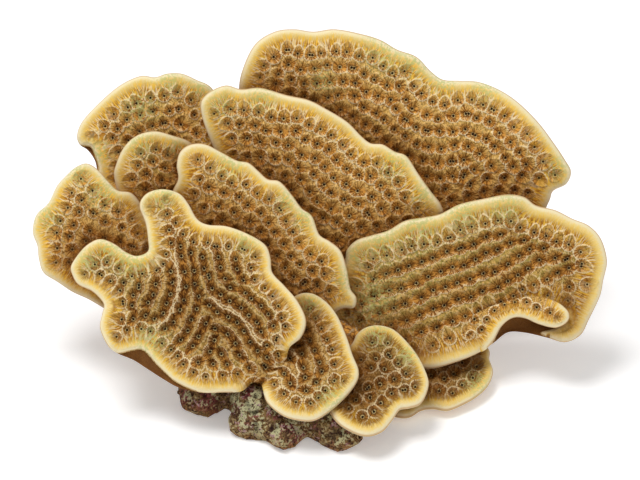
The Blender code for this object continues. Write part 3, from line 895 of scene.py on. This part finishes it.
class Signal:
    """A number that varies over a surface. Arithmetic on signals adds Math nodes."""

    def __init__(self, recipe, socket):
        self.recipe = recipe
        self.socket = socket

    def __add__(self, other):
        return self.recipe.math("ADD", self, other)

    def __sub__(self, other):
        return self.recipe.math("SUBTRACT", self, other)

    def __rsub__(self, other):
        return self.recipe.math("SUBTRACT", other, self)

    def __mul__(self, other):
        return self.recipe.math("MULTIPLY", self, other)

    def __truediv__(self, other):
        return self.recipe.math("DIVIDE", self, other)

    def __gt__(self, other):
        return self.recipe.math("GREATER_THAN", self, other)

    __radd__ = __add__
    __rmul__ = __mul__

    def rise(self, low, high):
        """0 up to low, 1 from high, and a smooth rise between them."""
        settings = {"interpolation_type": "SMOOTHSTEP"}
        return self.recipe.signal("ShaderNodeMapRange", settings, {"Value": self, 1: low, 2: high})

    def fall(self, low, high):
        return 1 - self.rise(low, high)


class Recipe:
    """A material whose nodes are written as Python expressions."""

    def __init__(self, name, roughness):
        self.material = bpy.data.materials.new(name)
        self.material.use_nodes = True
        self.nodes = self.material.node_tree.nodes
        self.shader = self.nodes["Principled BSDF"]
        self.shader.inputs["Roughness"].default_value = roughness
        self.shader.inputs["Specular IOR Level"].default_value = 0.08
        coordinates = self.add("ShaderNodeTexCoord").outputs["Object"]
        scaled = self.add("ShaderNodeVectorMath", {"operation": "SCALE"}, {0: coordinates, "Scale": 1 / MM})
        self.place = scaled.outputs[0]

    def add(self, kind, settings=None, inputs=None):
        """Adds a node, makes its settings, and gives its sockets their values or links."""
        node = self.nodes.new(kind)
        for key, value in (settings or {}).items():
            setattr(node, key, value)
        for key, value in (inputs or {}).items():
            self.feed(node.inputs[key], value)
        return node

    def feed(self, socket, value):
        value = value.socket if isinstance(value, Signal) else value
        if isinstance(value, bpy.types.NodeSocket):
            self.material.node_tree.links.new(value, socket)
        elif socket.type == "RGBA":
            socket.default_value = (*value, 1)
        else:
            socket.default_value = value

    def signal(self, kind, settings=None, inputs=None, output=0):
        return Signal(self, self.add(kind, settings, inputs).outputs[output])

    def math(self, operation, *values):
        return self.signal("ShaderNodeMath", {"operation": operation}, dict(enumerate(values)))

    def vector(self, *parts):
        """A place or direction made of its parts."""
        return self.add("ShaderNodeCombineXYZ", {}, dict(enumerate(parts))).outputs[0]

    def stored(self, name):
        """The three numbers that the mesh stores under a name."""
        vector = self.add("ShaderNodeAttribute", {"attribute_name": name}).outputs["Vector"]
        parts = self.add("ShaderNodeSeparateXYZ", {}, {0: vector})
        return [Signal(self, socket) for socket in parts.outputs]

    def noise(self, wavelength, detail=2.0, where=None):
        """Noise about 0.5, its largest waves about as long as given, in mm where no other place is named."""
        inputs = {"Vector": where or self.place, "Scale": 1 / wavelength, "Detail": detail}
        return self.signal("ShaderNodeTexNoise", {}, inputs)

    def cells(self, size, feature="F1", output="Distance"):
        """Random cells of about that size in mm."""
        inputs = {"Vector": self.place, "Scale": 1 / size}
        return self.signal("ShaderNodeTexVoronoi", {"feature": feature}, inputs, output)

    def blend(self, share, first, second, how="MIX"):
        """A colour between two others."""
        settings = {"data_type": "RGBA", "blend_type": how}
        return self.add("ShaderNodeMix", settings, {0: share, 6: first, 7: second}).outputs[2]

    def layered(self, colour, *layers):
        """A colour under some layers, each given by how far it covers and its own colour."""
        for share, over in layers:
            colour = self.blend(share, colour, over)
        return colour

    def finish(self, colour, height=None, roughness=None):
        """Joins the colour, the bump height in mm and the roughness to the shader."""
        self.feed(self.shader.inputs["Base Color"], colour)
        if height is not None:
            bump = self.add("ShaderNodeBump", {}, {"Distance": MM, "Height": height})
            self.feed(self.shader.inputs["Normal"], bump.outputs[0])
        if roughness is not None:
            self.feed(self.shader.inputs["Roughness"], roughness)
        return self.material


class FrondRecipe(Recipe):
    """A frond's material: cream rim, striped golden band, and brown cups inside pale beaded walls."""

    def __init__(self, name, look):
        super().__init__(name, look.roughness)
        self.look, self.plan = look, FINISH[name]
        self.band, self.olive = self.plan["band"], self.plan["olive"]
        self.merged = self.plan.get("merged", 0)
        self.edge, self.along, self.under = self.stored("rim")
        # the second number stored under cell is painted shade from the fronds in front
        self.wall, painted_shade, self.green = self.stored("cell")
        self.painted_shade = painted_shade * self.plan.get("painted_shade", 1)
        self.side, self.out, self.tone = self.stored("cup")
        self.fine = self.noise(0.5, 3)
        self.crumbs = self.noise(1.1, 4)
        self.deep = self.edge.rise(self.band + 1.5, self.band + 5)

        turn = self.math("ARCTAN2", self.side, self.out)
        self.facing = self.math("COSINE", turn)
        self.apart = self.math("ABSOLUTE", self.side) - (self.tone > DOUBLED) * TWIN_GAP
        self.near = self.length(self.apart, self.out)
        spokes = self.vector(self.facing * 4, self.math("SINE", turn) * 4, self.tone * 90 + self.near * 0.15)
        self.rays = self.noise(0.62, 1, spokes)
        self.gap = (self.facing.rise(0, 0.6) * 0.8 - self.wall).rise(0, 0.8)

        self.stripes = self.vector(self.along, self.edge * 0.13)
        self.streaks = self.noise(0.6, 2, self.stripes)

    def length(self, across, upward):
        """How long the arrow with these two parts is."""
        return self.math("SQRT", across * across + upward * upward)

    def cups(self):
        """Slopes of light and dark streaks, tan and olive above, round a dark star; and what lies between."""
        look, rays, out = self.look, self.rays, self.out
        patchy = self.noise(8, 3)
        trough = self.length(self.apart * (1 - self.deep * (self.merged * 0.8)), out)
        stripes = (rays * 0.7 + self.fine * 0.6).fall(0.5, 0.85)
        cup = self.layered(
            look.slope,
            (rays.rise(0.4, 0.56), look.orange),
            (out.rise(0.6, 3.2) * rays.rise(0.34, 0.56) * 0.85, look.tan),
            (out.rise(0.6, 3.0) * (patchy.rise(0.25, 0.6) * self.olive) * stripes, look.olive),
            # pale septa, painted only on the lower side of a cup: a painted highlight where its wall faces up
            # to the light
            ((0 - out).rise(0.6, 2.0) * rays.rise(0.5, 0.58) * 0.6, look.crest),
            ((trough + rays * 2.4).fall(1.5, 3.3), look.hollow),
        )
        between = self.layered(
            look.umber,
            (self.fine.rise(0.38, 0.62), look.tan),
            (patchy.rise(0.3, 0.65) * self.olive * stripes, look.olive),
        )
        return self.blend(self.gap * (0.85 - self.deep * self.facing.rise(-0.6, 0.4) * 0.6), cup, between)

    def golden_band(self, colour):
        """Stripes of gold, with pale forks, between the rim and the first row of cups."""
        look, edge, band = self.look, self.edge, self.band
        forks = self.math("ABSOLUTE", self.noise(1.5, 1, self.stripes) - 0.5).fall(0.012, 0.06)
        gold = self.layered(
            look.gold_dark,
            (self.streaks.rise(0.44, 0.57), look.gold),
            (forks * edge.rise(band * 0.3, band * 0.5) * 0.75, look.crest),
        )
        in_band = edge.fall(band - 3.5, band + 2) * 0.5
        golden = self.math("MAXIMUM", self.gap * edge.fall(band - 1, band + 3), in_band)
        return self.blend(golden, colour, gold)

    def walls(self, colour, dark):
        """Pale beaded crests, strongest below a cup's mouth, where a painted highlight stands for the light
        on walls that face up, and along the rows; they fade in the painted shade.
        """
        look, facing, deep, merged = self.look, self.facing, self.deep, self.merged
        # painted highlight: the pale walls are made stronger below a cup's mouth, where they face up to the
        # light, and weaker above it
        beads = (self.rays * 0.5 + self.fine * 0.9 + facing.fall(-0.7, 0) * 0.09).rise(0.54, 0.68)
        line = self.math("ABSOLUTE", self.wall + 0.05) + (0.55 - self.rays) * 0.8
        crest = line.fall(0.18, 0.4) * beads
        above = facing.rise(-0.6, 0.5) * (deep * (0.65 - merged * 0.4) + 0.25)
        crest = crest * (1 - above) * self.edge.rise(3.6, 6.0)
        along_row = (facing * facing).rise(0.05, 0.4)
        crest = crest * (1 - (1 - along_row) * (deep * merged)) * (1 - deep * (merged * 0.35))
        return self.layered(
            colour,
            # painted shade: crests fade behind the rims of the fronds in front and deep inside the lower
            # fronds, and crumbly dark brown is painted behind those rims
            (crest * (1 - self.painted_shade * 0.8) * (1 - dark * 0.5), look.crest),
            (self.painted_shade * self.crumbs.rise(0.35, 0.65) * 0.7, look.umber),
        )

    def rim(self, colour):
        """The cream edge, which fades into the band through yellow streaks, and the living green."""
        look, edge, streaks = self.look, self.edge, self.streaks
        width = self.plan.get("rim_width", 1)
        far = edge + (streaks - 0.5) * 8.0 * edge.rise(0.3, 3.0) + (self.fine - 0.5) * 1.4
        specks = streaks.fall(0.34, 0.46) * edge.rise(0.5, 1.6) * edge.fall(2, 5)
        return self.layered(
            colour,
            ((far * (8.5 / self.band)).fall(1.5, 4.6) * 0.9, look.yellow),
            (far.fall(0.3 * width, 2.4 * width), look.rim),
            (specks * 0.45, look.gold),
            (edge.fall(0.0, 0.4) * 0.6, look.gold_dark),
            (self.green * self.crumbs.rise(0.42, 0.58) * 0.7, look.green),
        )

    def mouths(self, colour):
        """The black mouth of each cup, with a pale ring round it."""
        look, near = self.look, self.near
        # the mouths fade in the painted shade behind the fronds in front
        shown = self.edge.rise(4, 5) * (1 - self.painted_shade * 0.7)
        ring = near.rise(0.45, 0.6) * near.fall(0.75, 1.0) * self.fine.rise(0.38, 0.6)
        mouth = near.fall(0.36, 0.54)
        return self.layered(colour, (ring * shown * 0.75, look.ring), (mouth * shown, look.centre))

    def underside(self):
        """Colour and bump behind: fine ribs that run out from the root, and faint rings of growth."""
        look, edge = self.look, self.edge
        across, upward, distance = self.side, self.out, self.tone
        ribs = self.noise(0.9, 3, self.vector(across * 55, upward * 55, distance * 0.05))
        rings = self.noise(2.6, 3, self.vector(edge, across * 2, upward * 2))
        far = edge + (ribs - 0.5) * 6 + (self.fine - 0.5) * 1.5
        colour = self.layered(
            look.underside_dark,
            (ribs.rise(0.36, 0.64), look.underside),
            (rings.rise(0.48, 0.66) * 0.4, look.slope),
            (self.noise(11, 3).rise(0.45, 0.7) * 0.45, look.underside_dark),
            (distance.rise(1, 2) * distance.fall(15, 70) * 0.45, look.underside_dark),
            (self.fine.fall(0.4, 0.56) * 0.4, look.underside_dark),
            (far.fall(2.0, 8.0) * 0.7, look.gold_dark),
            (far.fall(1.6, 3.6) * 0.8, look.tan),
            (far.fall(0.5, 2.2), look.rim),
        )
        return colour, ribs * 0.5 + rings * 0.5

    def made(self):
        """The whole material, layer by layer."""
        look, edge = self.look, self.edge
        # painted shade: darker just inside the rim and deep inside the lower fronds, where less light reaches
        outer, inner = self.plan["shade"]
        dark = edge.rise(1, 4) * outer + edge.rise(6, 24) * (inner - outer)
        grit = self.noise(0.9, 3).fall(0.34, 0.5) * edge.rise(3, 8) * look.grit
        colour = self.golden_band(self.cups())
        # the painted shade first, then the fine grit of the cups
        colour = self.blend(dark, colour, look.depth, "MULTIPLY")
        colour = self.blend(grit, colour, look.depth, "MULTIPLY")
        colour = self.mouths(self.rim(self.walls(colour, dark)))
        # painted shade: darker behind the rims of the fronds in front of this one
        colour = self.blend(self.painted_shade * look.painted_shade, colour, look.shade, "MULTIPLY")
        brown, ribs = self.underside()
        colour = self.blend(self.under, colour, brown)
        in_cup = self.rays * self.near.rise(0.5, 1.5) * self.wall.rise(-0.3, 0.3)
        grooves = in_cup * 0.5 + self.streaks * edge.rise(1.5, 4) * 0.2
        height = (grooves + self.fine * 0.2) * (1 - self.under) + ribs * self.under
        return self.finish(colour, height, self.fine * 0.25 + (look.roughness - 0.12))


def crust_material(name, look):
    """The growth that covers the stone: brown and tan crust."""
    recipe = Recipe(name, look.roughness)
    wall, near, _ = recipe.stored("cell")
    fine = recipe.noise(0.6, 3)
    crumbs = recipe.noise(1.4, 4)
    walls = (wall + crumbs * 0.5).fall(0.25, 0.42)
    colour = recipe.layered(
        look.underside_dark,
        (crumbs.rise(0.38, 0.6), look.orange),
        ((near + crumbs * 3).fall(1.8, 3.6), look.hollow),
        (walls * fine.rise(0.4, 0.6) * 0.7, look.crest),
        (near.fall(0.35, 0.6), look.centre),
        (recipe.noise(9, 3).rise(0.4, 0.62) * 0.75, look.underside_dark),
    )
    return recipe.finish(colour, fine * 0.3 + crumbs * 0.7)


def rock_material(look):
    """Brown stone under patches of maroon, cream and pinkish white crust."""
    recipe = Recipe("reef_stone", 0.85)
    hollow, low, across = recipe.stored("hollow")
    fine = recipe.noise(0.6, 3)
    speckle = recipe.noise(1.2, 4)
    grains = recipe.cells(1.1)
    middle = 1 - recipe.math("ABSOLUTE", across + 9).rise(6, 20)
    left = 1 - recipe.math("ABSOLUTE", across + 28).rise(4, 16)
    stained = recipe.noise(6, 3) + (speckle - 0.5) * 0.7
    pale = recipe.noise(5.5, 3) + (speckle - 0.5) * 0.9 + middle * 0.09
    pink = recipe.noise(3.0, 4) + (grains - 0.4) * 0.2
    colour = recipe.layered(
        look.brown,
        (recipe.noise(4.5, 4).rise(0.42, 0.6), look.umber),
        (speckle.rise(0.5, 0.62) * 0.75, look.dust),
        ((stained + left * 0.1).rise(0.52, 0.6) * 0.8, look.maroon),
        (pale.rise(0.57, 0.66) * 0.85, look.cream),
        (pink.rise(0.62, 0.7) * 0.7, look.pink),
        (low * speckle.rise(0.35, 0.6) * 0.7, look.rust),
        ((fine + speckle * 0.6).fall(0.62, 0.74) * 0.85, look.crevice),
        # painted shade: near black in the pits and low hollows of the stone
        (hollow * 0.8, look.crevice),
    )
    return recipe.finish(colour, fine * 0.5 + speckle * 0.7 + grains * 0.2)


# ---- The stone and the crust over it ------------------------------------------------------------------


def scattered(places, spacing, random):
    """Some of the places, taken in random order, none nearer than the spacing to another."""
    chosen = np.empty((0, 3))
    for place_now in random.permutation(places):
        if len(chosen) == 0 or np.linalg.norm(chosen - place_now, axis=1).min() > spacing:
            chosen = np.vstack((chosen, place_now))
    return chosen


def remeshed_copy(node, shape):
    """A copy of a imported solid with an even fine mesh, and where its points are and face, mm."""
    obj = node_copy(node, f"{node}_surface")
    apply_modifier(obj, "REMESH", mode="VOXEL", voxel_size=shape.stone_step)
    return obj, places_of(obj), normals_of(obj)


def crust_object(shape):
    """The mound that every frond springs from, with worn cups all over it."""
    obj, places, normals = remeshed_copy("encrusting_base", shape)
    middles = scattered(places[::7], shape.crust_pitch / MM, np.random.default_rng(4))
    reach = np.concatenate([
        np.sort(np.linalg.norm(places[first:first + CHUNK, None] - middles[None], axis=2), axis=1)[:, :2]
        for first in range(0, len(places), CHUNK)
    ])
    near, far = reach.T
    wall = (far - near) / (far + near)
    height = 0.9 * noise_at(places, 9.0, 5) - 1.1 * wall**0.75 - 0.4 * np.exp(-((near / 0.5) ** 2))
    height += 0.25 * np.exp(-wall / 0.07)
    edge = places[:, 2].min() + 2.2 + 3.0 * noise_at(places, 13.0, 9)
    sunk = 1 - ease(0, 3, places[:, 2] - edge)
    places += normals * (height * (1 - sunk) - CRUST_DIVES * sunk)[:, None]
    places[:, 2] -= CRUST_DROPS * sunk
    move_points(obj, places)
    obj.data.shade_smooth()
    write_triples(obj, "cell", "POINT", wall, near, np.zeros(len(near)))
    return obj


def stone_object(shape):
    """The broken piece of reef rock, rough and pitted, flat underneath."""
    obj, places, normals = remeshed_copy("reef_rock", shape)
    rough = 1.5 * noise_at(places, 9.0, 6) + 0.9 * noise_at(places, 4.2, 7) + 0.45 * noise_at(places, 1.9, 8)
    pits = ease(0.25, 0.6, noise_at(places, 3.1, 9))
    height = rough - 1.3 * pits
    grounded = 1 - ease(0.2, 2.5, places[:, 2])
    flat = normals * (1, 1, 0) * grounded[:, None] + normals * (1 - grounded)[:, None]
    places += flat * (height * (1 - 0.6 * grounded))[:, None]
    places[:, 2] = np.maximum(places[:, 2], 0)
    move_points(obj, places)
    obj.data.shade_smooth()
    # painted shade: how dark the pits and low hollows of the stone are painted, stored for the material
    hollow = ease(0.0, 1.0, pits) * 0.7 + 0.5 * ease(0.3, 1.6, -rough)
    low = 1 - ease(1.0, 9.0, places[:, 2])
    write_triples(obj, "hollow", "POINT", np.clip(hollow, 0, 1), low, places[:, 0])
    return obj


# ---- What a user can change ---------------------------------------------------------------------------


def a_length(name, description, default):
    return bpy.props.FloatProperty(name=name, description=description, default=default, min=0, unit="LENGTH")


def a_colour(name, description, default):
    return bpy.props.FloatVectorProperty(
        name=name, description=description, default=default, size=3, subtype="COLOR", min=0, max=1
    )


def a_share(name, description, default):
    return bpy.props.FloatProperty(
        name=name, description=description, default=default, min=0, max=1, subtype="FACTOR"
    )


def a_power(name, description, default):
    return bpy.props.FloatProperty(name=name, description=description, default=default, min=0, unit="POWER")


class CoralShape(bpy.types.PropertyGroup):
    thickness: a_length("Plate thickness", "Thickness of a frond", 0.0033)
    lip: a_length("Lip", "How far the rolled edge stands above the cups", 0.0003)
    cup_depth: a_length("Cup depth", "Depth of a cup below its walls", 0.0009)
    mesh_step: a_length("Fine step", "Distance between the points of a frond's front", 0.00047)
    # how far the painted shade behind a frond's rim reaches into the one behind it
    painted_shade_reach: a_length("Gloom reach", "How far a frond darkens the one behind it", 0.006)
    crust_pitch: a_length("Crust pitch", "Distance between the worn cups of the crust", 0.005)
    stone_step: a_length("Stone step", "Distance between the points of the stone and its crust", 0.0007)


class CoralLook(bpy.types.PropertyGroup):
    rim: a_colour("Rim", "Pale rolled edge", (0.93, 0.81, 0.52))
    yellow: a_colour("Yellow", "Between the rim and the golden band", (0.91, 0.70, 0.25))
    gold: a_colour("Gold", "Light stripes of the band inside the edge", (0.95, 0.56, 0.07))
    gold_dark: a_colour("Dark gold", "Dark stripes of the band", (0.50, 0.20, 0.018))
    tan: a_colour("Tan", "Upper part of a cup, and between the cups", (0.97, 0.62, 0.20))
    orange: a_colour("Orange", "Light streaks in the cups", (0.84, 0.40, 0.075))
    slope: a_colour("Cup slope", "Dark streaks in the cups", (0.36, 0.13, 0.018))
    umber: a_colour("Umber", "Dark growth between the cups", (0.36, 0.16, 0.02))
    hollow: a_colour("Cup hollow", "Dark star round a cup's mouth", (0.10, 0.028, 0.004))
    ring: a_colour("Mouth ring", "Pale ring round a cup's mouth", (0.80, 0.66, 0.30))
    centre: a_colour("Cup centre", "The mouth in the middle of a cup", (0.012, 0.006, 0.003))
    crest: a_colour("Walls", "Pale broken walls between the cups", (1.0, 0.82, 0.49))
    olive: a_colour("Olive", "Green-brown slopes between the rows", (0.50, 0.41, 0.09))
    green: a_colour("Green", "Patches of living green", (0.52, 0.56, 0.20))
    shade: a_colour("Shade", "What the light loses where fronds overlap", (0.34, 0.20, 0.10))
    # the painted shade deep inside the lower fronds, and the fine grit, darken by this colour
    depth: a_colour("Depth", "What the light loses deep inside the lower fronds", (0.10, 0.03, 0.0))
    grit: a_share("Grit", "How strongly fine dark grit shows in the cups", 0.6)
    # how strongly the painted shade behind the rims of the fronds in front darkens them
    painted_shade: a_share("Gloom", "How strongly overlaps are darkened", 0.85)
    underside: a_colour("Underside", "Ribs of the underside", (0.50, 0.22, 0.06))
    underside_dark: a_colour("Dark underside", "Between the ribs of the underside", (0.18, 0.065, 0.018))
    roughness: a_share("Roughness", "Roughness of the fronds", 0.62)


class StoneLook(bpy.types.PropertyGroup):
    brown: a_colour("Brown", "Main colour of the stone", (0.26, 0.16, 0.06))
    umber: a_colour("Umber", "Dark stone", (0.12, 0.06, 0.03))
    maroon: a_colour("Maroon", "Dark red crust", (0.24, 0.05, 0.06))
    cream: a_colour("Cream", "Pale greenish crust", (0.62, 0.60, 0.34))
    pink: a_colour("Pink", "Pinkish white crust", (0.62, 0.40, 0.40))
    dust: a_colour("Dust", "Light grains", (0.50, 0.36, 0.17))
    rust: a_colour("Rust", "Orange-brown lower edges", (0.34, 0.16, 0.045))
    # near black: random dark specks, and the painted shade in the pits and hollows
    crevice: a_colour("Crevice", "Inside the pits", (0.022, 0.010, 0.012))


class StageLook(bpy.types.PropertyGroup):
    lens: a_length("Focal length", "Focal length of the camera's lens", 0.12)
    sky: a_share("Sky", "Brightness all round", 0.45)
    key: a_power("Key", "Power of the soft main light", 9.5)
    fill: a_power("Fill", "Power of the light from the right", 0.8)
    glow: a_share("Floor glow", "How far the floor lights up its own shadows", 0.25)


def settle_piece(obj, material, node):
    """Gives a piece its material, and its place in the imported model."""
    obj.data.materials.clear()
    obj.data.materials.append(material)
    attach(obj, "root")
    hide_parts(node)


class CORAL_OT_fronds(bpy.types.Operator):
    """Add the surface of every frond"""

    bl_idname = "coral.fronds"
    bl_label = "Add Fronds"

    def execute(self, context):
        shape, look = context.scene.coral_shape, context.scene.coral_look
        outlines = {name: curve_through(frond["margin"], OUTLINE_STEP) for name, frond in FRONDS.items()}
        for name in FRONDS:
            obj = frond_object(name, outlines, shape)
            settle_piece(obj, FrondRecipe(name, look).made(), name)
        return {"FINISHED"}


class CORAL_OT_crust(bpy.types.Operator):
    """Add the crust that the fronds spring from"""

    bl_idname = "coral.crust"
    bl_label = "Add Crust"

    def execute(self, context):
        obj = crust_object(context.scene.coral_shape)
        material = crust_material("encrusting_growth", context.scene.coral_look)
        settle_piece(obj, material, "encrusting_base")
        return {"FINISHED"}


class CORAL_OT_stone(bpy.types.Operator):
    """Add the stone that the colony grew on"""

    bl_idname = "coral.stone"
    bl_label = "Add Stone"

    def execute(self, context):
        obj = stone_object(context.scene.coral_shape)
        settle_piece(obj, rock_material(context.scene.stone_look), "reef_rock")
        return {"FINISHED"}


class CORAL_OT_stage(bpy.types.Operator):
    """Add the floor, the lights and the camera"""

    bl_idname = "coral.stage"
    bl_label = "Add Stage"

    def execute(self, context):
        stage = context.scene.stage_look
        add_floor(stage)
        add_lights(context.scene, stage)
        add_camera(context.scene, stage)
        return {"FINISHED"}


def add_floor(stage):
    bpy.ops.object.select_all(action="DESELECT")
    bpy.ops.mesh.primitive_plane_add(size=12)
    floor = bpy.context.view_layer.objects.active
    floor.name = "floor"
    recipe = Recipe("pale_floor", 0.9)
    recipe.shader.inputs["Base Color"].default_value = (0.95, 0.95, 0.95, 1)
    recipe.shader.inputs["Emission Color"].default_value = (1, 1, 1, 1)
    recipe.shader.inputs["Emission Strength"].default_value = stage.glow
    floor.data.materials.append(recipe.material)


def add_light(name, size, power, spot, target):
    """A square soft light at a spot, facing the target."""
    bpy.ops.object.light_add(type="AREA", location=spot)
    light = bpy.context.view_layer.objects.active
    light.name = name
    light.data.size = size
    light.data.energy = power
    light.rotation_euler = (Vector(target) - Vector(spot)).to_track_quat("-Z", "Y").to_euler()


def add_lights(scene, stage):
    world = bpy.data.worlds.new("white_room")
    world.use_nodes = True
    background = world.node_tree.nodes["Background"]
    background.inputs["Color"].default_value = (1, 1, 1, 1)
    background.inputs["Strength"].default_value = stage.sky
    scene.world = world
    middle = (CAD_BOX[0] + CAD_BOX[1]) / 2
    add_light("key", 0.5, stage.key, (-0.3, -0.05, 1.25), middle)
    add_light("fill", 0.6, stage.fill, (0.9, -0.6, 0.5), middle)
    scene.view_settings.view_transform = "Standard"


def add_camera(scene, stage):
    """The camera looks square at the drawing plane from the far point."""
    target = (np.array((AIM[0], 0, 0)) + UP * AIM[1]) * MM
    spot = target + OUT * SIGHT * MM
    bpy.ops.object.camera_add(location=spot)
    camera = bpy.context.view_layer.objects.active
    camera.rotation_euler = Vector(-OUT).to_track_quat("-Z", "Y").to_euler()
    camera.data.lens = stage.lens / MM
    camera.data.sensor_width = 36
    scene.camera = camera


class CORAL_PT_sidebar(bpy.types.Panel):
    """The coral's parts and what can be changed in them"""

    bl_label = "Cactus Coral"
    bl_space_type = "VIEW_3D"
    bl_region_type = "UI"
    bl_category = "Coral"

    def draw(self, context):
        for operator in (CORAL_OT_fronds, CORAL_OT_crust, CORAL_OT_stone, CORAL_OT_stage):
            self.layout.operator(operator.bl_idname)
        for group in (context.scene.coral_shape, context.scene.coral_look, context.scene.stone_look,
                      context.scene.stage_look):
            box = self.layout.box()
            for name in group.bl_rna.properties.keys():
                if name not in ("rna_type", "name"):
                    box.prop(group, name)


GROUPS = {
    "coral_shape": CoralShape,
    "coral_look": CoralLook,
    "stone_look": StoneLook,
    "stage_look": StageLook,
}
CLASSES = (
    *GROUPS.values(), CORAL_OT_fronds, CORAL_OT_crust, CORAL_OT_stone, CORAL_OT_stage, CORAL_PT_sidebar
)


def register():
    for cls in CLASSES:
        bpy.utils.register_class(cls)
    for name, group in GROUPS.items():
        setattr(bpy.types.Scene, name, bpy.props.PointerProperty(type=group))


def unregister():
    for name in GROUPS:
        delattr(bpy.types.Scene, name)
    for cls in reversed(CLASSES):
        bpy.utils.unregister_class(cls)


def main():
    register()
    bpy.ops.coral.stage()
    bpy.ops.coral.stone()
    bpy.ops.coral.crust()
    bpy.ops.coral.fronds()
    bpy.context.view_layer.update()


if __name__ == "__main__":
    main()
